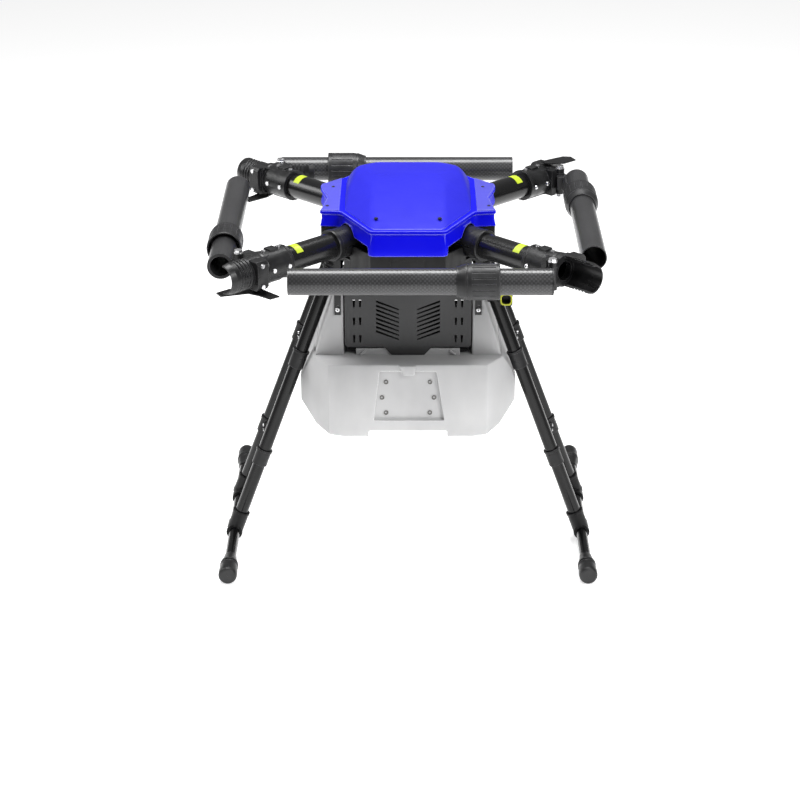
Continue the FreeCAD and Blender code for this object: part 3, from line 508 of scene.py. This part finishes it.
def rounded_outline(corners, radius, step):
    """Closed outline with rounded corners, as evenly spaced points."""
    points = []
    for before, corner, after in zip(corners[-1:] + corners[:-1], corners, corners[1:] + corners[:1]):
        corner = Vector(corner)
        entry, leave = Vector(before) - corner, Vector(after) - corner
        reach = min(radius, entry.length * 0.45, leave.length * 0.45)
        first, last = corner + entry.normalized() * reach, corner + leave.normalized() * reach
        points += [first.lerp(corner, t).lerp(corner.lerp(last, t), t) for t in (0, 0.2, 0.4, 0.6, 0.8, 1)]
    spaced = []
    for start, end in zip(points, points[1:] + points[:1]):
        count = max(1, round((end - start).length / step))
        spaced += [start.lerp(end, i / count) for i in range(count)]
    return spaced


def skirt_low(point):
    """Height of the skirt's lower edge above a place on its outline."""
    low = LOBE_LOW if abs(point.x) > LOBE_ROOT else SKIRT_LOW
    for angle in ARM_ANGLES.values():
        along_arm = Vector((math.cos(math.radians(angle)), math.sin(math.radians(angle))))
        reach = point.dot(along_arm)
        aside = abs(along_arm.x * point.y - along_arm.y * point.x)
        if reach > PASSAGE_FROM and aside < 90:
            low = max(low, AXIS_Z + 15)
            if aside < PASSAGE_R:
                low = max(low, AXIS_Z + math.sqrt(PASSAGE_R ** 2 - aside ** 2))
    return low


def make_skirt():
    """The canopy's skirt as one skin with a dented band, closed by a flat top under the dome."""
    shape = bmesh.new()
    outline = rounded_outline(whole(SKIRT_HALF), 9.0, 2.5)
    columns = []
    for i, point in enumerate(outline):
        run = outline[(i + 1) % len(outline)] - outline[i - 1]
        out = Vector((run.y, -run.x)).normalized()
        low = skirt_low(point)
        dent = -5.5 if abs(point.y) > SKIRT_END - 2 and abs(point.x) < 70 else -3.0
        heights = [(low, -2.4), (low, -0.8), (low + 1.0, 0), (672, 0), (689, dent), (698, dent), (699.5, 0),
                   (704, 0), (706, -1.0), (706, -4.5)]
        column = []
        for z, inset in heights:
            place = point + out * inset
            column.append(shape.verts.new((place.x, place.y, max(z, low))))
        columns.append(column)
    for here, there in zip(columns, columns[1:] + columns[:1]):
        for level in range(len(here) - 1):
            shape.faces.new((here[level], there[level], there[level + 1], here[level + 1]))
    shape.faces.new([column[-1] for column in columns])
    finished("canopy_skirt", shape, "blue_shell", "frame", ["canopy"])


def make_dome():
    shape = bmesh.new()
    levels = [[shape.verts.new((x, y, z)) for x, y in whole(half)] for z, half in DOME_LEVELS]
    for lower, upper in zip(levels, levels[1:]):
        for i in range(len(lower)):
            j = (i + 1) % len(lower)
            shape.faces.new((lower[i], lower[j], upper[j], upper[i]))
    shape.faces.new(levels[-1])
    shape.faces.new(levels[0][::-1])
    bmesh.ops.triangulate(shape, faces=[face for face in shape.faces if len(face.verts) == 4])
    soften(shape, 15.0, 6, 6.0)
    finished("canopy_dome", shape, "dome_blue_painted_sheen", "frame")


def make_lobes():
    for side in (-1, 1):
        shape = bmesh.new()
        inner = [(134, -87), (171, -84), (166, -62), (158, -3), (172, 57), (174, 83), (159, 96), (134, 124)]
        prism(shape, [(side * x, y) for x, y in inner], 704.0, 708.0)
        soften(shape, 1.4, 3, 30.0)
        finished("canopy_lobe_" + side_name(side), shape, "lobe_blue_painted_highlight", "frame")


def make_lobe_screws():
    """Small dark screws on the canopy's side lobes."""
    shape = bmesh.new()
    for side in (-1, 1):
        for x, y in ((158.0, -61.0), (150.0, 62.0)):
            up = Matrix.Translation((side * x, y, 707.6)) @ Matrix.Rotation(math.radians(-90), 4, "Y")
            revolve(shape, [(0.0, 3.4), (1.0, 3.4), (1.7, 2.6), (1.7, 1.5), (0.7, 1.2), (0.0, 1.2)], up, 24)
    finished("lobe_screws", shape, "black_alloy", "frame")


# ---- tank ---------------------------------------------------------------------------
TANK_SECTION = [(-127, 260), (127, 260), (183, 269), (216, 301), (216, 357), (188, 414),
                (-188, 414), (-216, 357), (-216, 301), (-183, 269)]
TANK_FRONT, TANK_REAR = -165.0, 135.0
SHOULDER_FRONT, SHOULDER_REAR = -110.0, 50.0
SHOULDER = [(127, 408), (186, 408), (174, 458), (150, 530), (144, 548), (127, 548)]


def carve(piece, cutters):
    """Cuts closed bmeshes in millimetres out of an object."""
    for cutter in cutters:
        bmesh.ops.scale(cutter, vec=(MM, MM, MM), verts=cutter.verts)
        bmesh.ops.recalc_face_normals(cutter, faces=cutter.faces)
        mesh = bpy.data.meshes.new("cutter")
        cutter.to_mesh(mesh)
        cutter.free()
        tool = bpy.data.objects.new("cutter", mesh)
        bpy.context.scene.collection.objects.link(tool)
        cut = piece.modifiers.new("cut", "BOOLEAN")
        cut.operation, cut.solver, cut.object = "DIFFERENCE", "EXACT", tool
        bpy.context.view_layer.update()
        carved = bpy.data.meshes.new_from_object(piece.evaluated_get(bpy.context.evaluated_depsgraph_get()))
        piece.modifiers.clear()
        piece.data = carved
        bpy.data.objects.remove(tool)
    piece.data.shade_smooth()
    piece.data.set_sharp_from_angle(angle=SHARP)


def make_tank_body():
    """Lower tank: its section from front to rear, corners cut off, a groove below and a recess in front."""
    shape = bmesh.new()
    side_prism(shape, TANK_SECTION, TANK_FRONT, TANK_REAR)
    cut_x, cut_y, corner_x = 31.0, 50.0, 157.0
    for side in (-1, 1):
        for y, end in ((TANK_FRONT, -1), (TANK_REAR, 1)):
            whole_shape = shape.verts[:] + shape.edges[:] + shape.faces[:]
            outwards = Vector((side * cut_y, end * cut_x, 0)).normalized()
            cut = bmesh.ops.bisect_plane(shape, geom=whole_shape, plane_co=(side * corner_x, y, 0),
                                         plane_no=outwards, clear_outer=True)
            rim = [part for part in cut["geom_cut"] if isinstance(part, bmesh.types.BMEdge)]
            bmesh.ops.contextual_create(shape, geom=rim)
    bmesh.ops.remove_doubles(shape, verts=shape.verts, dist=0.05)
    soften(shape, 2.6, 3, 14.0)
    body = finished("tank_body", shape, "tank_plastic", "frame", ["tank", "tank_top"])
    groove, recess = bmesh.new(), bmesh.new()
    side_prism(groove, [(-78, 250), (78, 250), (78, 273), (-78, 273)], TANK_FRONT - 5, TANK_REAR + 5)
    side_prism(recess, [(-56, 400), (56, 400), (72, 295), (-68, 295)], TANK_FRONT - 5, TANK_FRONT + 8)
    soften(groove, 3.0)
    soften(recess, 3.0)
    carve(body, [groove, recess])


def make_tank_top():
    """The two shoulders, the boss in the front edge and the ledge under the battery's plate."""
    for side in (-1, 1):
        shape = bmesh.new()
        side_prism(shape, [(side * x, z) for x, z in SHOULDER], SHOULDER_FRONT, SHOULDER_REAR)
        soften(shape, 3.0, 3, 14.0)
        finished("tank_shoulder_" + side_name(side), shape, "tank_plastic", "frame")
    shape = bmesh.new()
    side_prism(shape, [(-18, 413), (16, 413), (12, 392), (-8, 392)], TANK_FRONT - 4, TANK_FRONT + 5)
    soften(shape, 2.0, 3)
    ledge = [(-103, 412), (103, 412), (103, 427), (-103, 427)]
    side_prism(shape, ledge, SHOULDER_FRONT + 0.5, SHOULDER_FRONT + 6)
    finished("tank_boss_and_ledge", shape, "tank_plastic", "frame")


# ---- skid caps ----------------------------------------------------------------------
def make_skid_caps():
    """Rubber ends of the skids: flared neck, two rings with a groove between, round-edged barrel."""
    neck = [(216, 11.1), (216, 12.0), (217, 12.3), (222, 12.6), (232, 14.1), (242, 15.9), (249, 17.0)]
    rings = [(250, 17.9), (252, 18.1), (253, 17.6), (253.6, 15.0),
             (257, 15.0), (257.6, 17.4), (258.6, 18.0), (260.5, 18.0), (261.5, 17.3)]
    barrel = [(264, 17.2), (278, 18.2), (290, 18.5), (296, 18.2), (299, 17.2), (300.6, 15.6)]
    end_face = [(300.4, 14.6), (301, 14.2), (301, 0.3), (297.5, 0.3), (297.5, 11.1)]
    profile = neck + rings + barrel + end_face
    shape = bmesh.new()
    for side in (-1, 1):
        for end in (-1, 1):
            axis = Vector((side * SKID_X, 0, SKID_Z))
            revolve(shape, profile, along(axis, axis + Vector((0, end, 0))), 64)
    finished("rubber_skid_caps", shape, "rubber_cap", "frame", ["skid_caps"])


# ---- bolts, clips and the connector's rim -------------------------------------------
def bolt_head(shape, matrix, radius, height):
    """Round head with a hexagon socket, along the x axis of the matrix."""
    shares = [(0, 1), (0.6, 1), (0.9, 0.86), (1, 0.7), (1, 0.42), (0.45, 0.38), (0, 0.38)]
    revolve(shape, [(height * x, radius * r) for x, r in shares], matrix, 24)


def make_bolts():
    """Heads on the pin side of each clamp, and in the slots of the tank's brackets."""
    shape = bmesh.new()
    for corner in CORNERS:
        for x in (346.0, 381.5):
            turn = Matrix.Translation((x, -30.2, 0)) @ Matrix.Rotation(math.radians(-90), 4, "Z")
            bolt_head(shape, arm_matrix(corner) @ turn, 4.2, 3.4)
    for side in (-1, 1):
        turn = Matrix.Translation((side * 138.5, -114.4, 511.0)) @ Matrix.Rotation(math.radians(-90), 4, "Z")
        bolt_head(shape, turn, 4.4, 3.2)
    finished("extra_bolts", shape, "bolt_steel", "frame")


def make_clips():
    """Two small clips at the ends of the tank's ledge."""
    shape = bmesh.new()
    for side in (-1, 1):
        piece = bmesh.new()
        side_prism(piece, [(-7, -2.2), (7, -2.2), (7, 2.2), (-7, 2.2)], -3.0, 3.0)
        soften(piece, 0.9, 3)
        turn = Matrix.Translation((side * 89, -112.5, 420)) @ Matrix.Rotation(math.radians(side * 38), 4, "Y")
        bmesh.ops.transform(piece, matrix=turn, verts=piece.verts)
        mesh = bpy.data.meshes.new("clip")
        piece.to_mesh(mesh)
        piece.free()
        shape.from_mesh(mesh)
        bpy.data.meshes.remove(mesh)
    finished("ledge_clips", shape, "tank_plastic", "frame")


def make_connector_rim():
    """Rounded frame round the mouth of the power connector."""
    shape = bmesh.new()
    centre, rings = Vector((193.5, 530.0)), []
    outer = [(-11, -13), (11, -13), (12.4, 10), (-12.4, 10)]
    back, face, front = -104.2, -106.4, -107.0
    for inset, y in ((0, back), (0, face), (0.5, front), (2.2, front), (2.7, face), (2.7, back)):
        scale_x, scale_z = 1 - inset / 12.4, 1 - inset / 13.0
        corners = [(x * scale_x, z * scale_z) for x, z in outer]
        places = [centre + point for point in rounded_outline(corners, 7.0, 50.0)]
        rings.append([shape.verts.new((place.x, y, place.y)) for place in places])
    for here, there in zip(rings, rings[1:] + rings[:1]):
        for i in range(len(here)):
            j = (i + 1) % len(here)
            shape.faces.new((here[i], here[j], there[j], there[i]))
    finished("rim_of_connector", shape, "connector_yellow", "frame", ["connector_rim"])


def paint_frame():
    """Every CAD node gets its slot's material."""
    slot_of = {entry["node"]: entry["material_slot"] for entry in frame["record"]["subparts"]}
    for name, piece in frame["nodes"].items():
        piece.data.materials.clear()
        piece.data.materials.append(MATERIALS[slot_of[name]])


make_camera()
make_studio()
make_floor()
MATERIALS = make_materials()
paint_frame()
make_tubes()
make_skirt()
make_dome()
make_lobes()
make_lobe_screws()
make_tank_body()
make_tank_top()
make_skid_caps()
make_bolts()
make_clips()
make_connector_rim()
